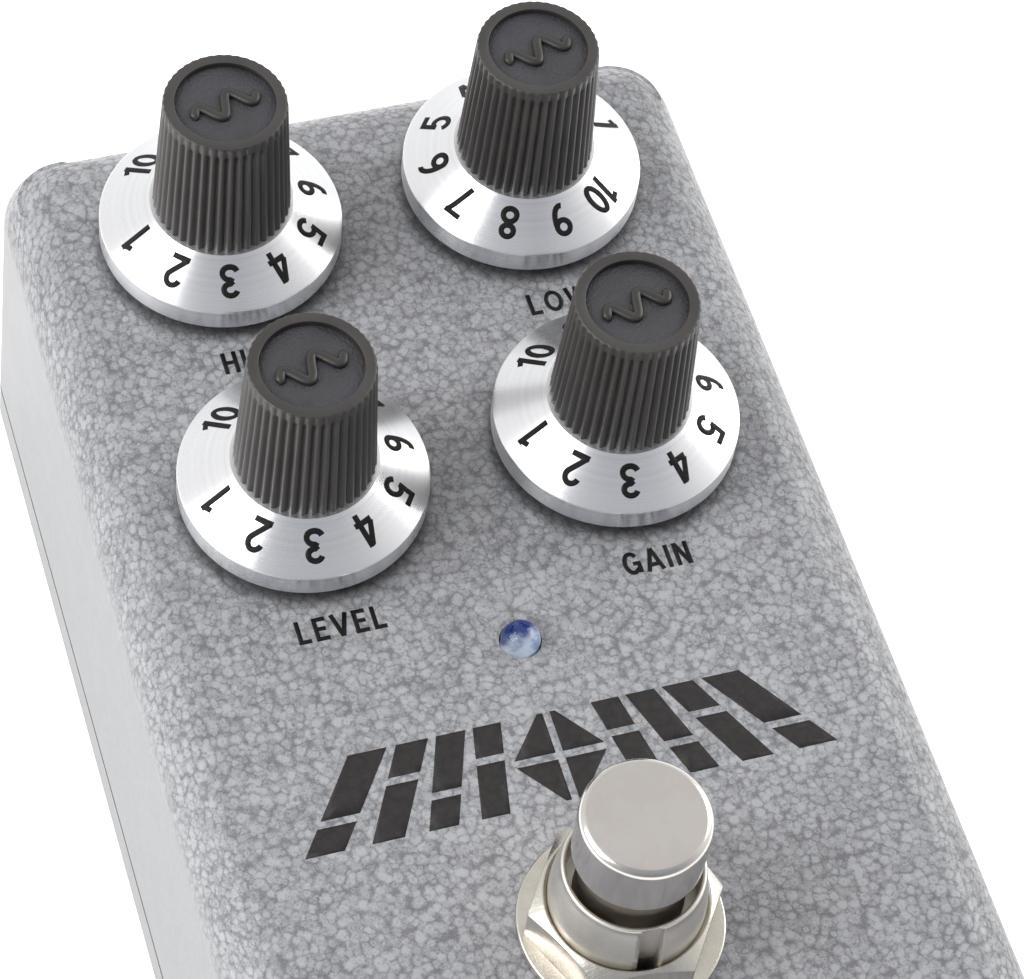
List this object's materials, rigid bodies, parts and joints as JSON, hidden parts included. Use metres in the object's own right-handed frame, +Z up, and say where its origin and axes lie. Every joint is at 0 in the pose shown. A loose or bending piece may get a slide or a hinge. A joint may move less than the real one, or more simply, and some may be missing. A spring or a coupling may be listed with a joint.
{
  "type": "guitar effects pedal",
  "caption": "Compact die-cast stomp pedal with dial knobs that turn, a status light, a sprung foot button and sockets on its rear wall.",
  "frame": {"origin": "under the middle of the whole footprint, case and jack bushings together, on the plane that the feet stand on", "axes": "+Z up; +Y along the case towards the rear wall with the sockets; +X to the right of a player who faces the pedal from the footswitch end"},
  "size_m": [0.0618, 0.1176, 0.053],
  "materials": {
    "hammered_paint": "grey hammered enamel with light cells between darker boundaries",
    "zinc_steel": "bright zinc plating",
    "foot_rubber": "matte black",
    "nickel": "warm bright nickel plating",
    "tinned_copper": "tin plating",
    "clear_lens": "clear with a faint blue tint",
    "chrome": "polished",
    "dark_steel": "dark oiled",
    "spring_steel": "drawn wire",
    "blue_plastic": "moulded blue",
    "black_plastic": "moulded black",
    "board_laminate": "green solder mask",
    "cable_sleeve": "grey cable sheath",
    "can_sleeve": "dark shrink sleeve",
    "film_case": "red box",
    "resistor_glaze": "pale blue glaze",
    "knob_plastic": "warm charcoal moulding",
    "spun_aluminium": "spun, with fine rings and black printed figures 1 to 10",
    "pot_case": "plated stamped case"
  },
  "bodies": {
    "case": {"enclosure": "hammered_paint", "bottom_cover": "hammered_paint", "cover_screws": "zinc_steel", "rubber_feet": "foot_rubber", "pot_washers": "nickel", "pot_nuts": "nickel", "pot_legs": "tinned_copper", "status_led": "clear_lens", "led_leads": "tinned_copper", "footswitch_bushing": "nickel", "footswitch_washer": "nickel", "footswitch_nut": "nickel", "footswitch_lower_nut": "nickel", "footswitch_spring": "spring_steel", "footswitch_body": "blue_plastic", "footswitch_lugs": "tinned_copper", "dc_socket_body": "black_plastic", "dc_socket_pin": "nickel", "main_board": "board_laminate", "footswitch_board": "board_laminate", "ribbon_cable": "cable_sleeve", "amplifier_chips": "black_plastic", "electrolytic_capacitors": "can_sleeve", "film_capacitors": "film_case", "resistors": "resistor_glaze", "high_pot_body": "pot_case", "low_pot_body": "pot_case", "level_pot_body": "pot_case", "gain_pot_body": "pot_case", "input_jack_body": "black_plastic", "input_jack_bushing": "nickel", "input_jack_washer": "nickel", "input_jack_nut": "nickel", "input_jack_contacts": "tinned_copper", "output_jack_body": "black_plastic", "output_jack_bushing": "nickel", "output_jack_washer": "nickel", "output_jack_nut": "nickel", "output_jack_contacts": "tinned_copper"},
    "high_control": {"high_knob": "knob_plastic", "high_dial": "spun_aluminium", "high_pot_shaft": "zinc_steel"},
    "low_control": {"low_knob": "knob_plastic", "low_dial": "spun_aluminium", "low_pot_shaft": "zinc_steel"},
    "level_control": {"level_knob": "knob_plastic", "level_dial": "spun_aluminium", "level_pot_shaft": "zinc_steel"},
    "gain_control": {"gain_knob": "knob_plastic", "gain_dial": "spun_aluminium", "gain_pot_shaft": "zinc_steel"},
    "footswitch_push": {"footswitch_button": "chrome", "footswitch_plunger": "dark_steel"}
  },
  "joints": [
    {"name": "high_turn", "type": "hinge", "parent": "case", "child": "high_control", "pos_m": [-0.0132, 0.0411, 0.0449], "axis": [0, 0, 1], "range_deg": [-43.9, 256.1]},
    {"name": "low_turn", "type": "hinge", "parent": "case", "child": "low_control", "pos_m": [0.0132, 0.0411, 0.0449], "axis": [0, 0, 1], "range_deg": [-220.8, 79.2]},
    {"name": "level_turn", "type": "hinge", "parent": "case", "child": "level_control", "pos_m": [-0.0132, 0.01453, 0.0449], "axis": [0, 0, 1], "range_deg": [-43.8, 256.2]},
    {"name": "gain_turn", "type": "hinge", "parent": "case", "child": "gain_control", "pos_m": [0.0132, 0.01453, 0.0449], "axis": [0, 0, 1], "range_deg": [-42.5, 257.5]},
    {"name": "footswitch_press", "type": "slide", "parent": "case", "child": "footswitch_push", "axis": [0, 0, -1], "range_m": [0, 0.0025], "stiffness_N_per_m": 3000, "springref_m": -0.003, "deforming": ["footswitch_spring"]}
  ]
}
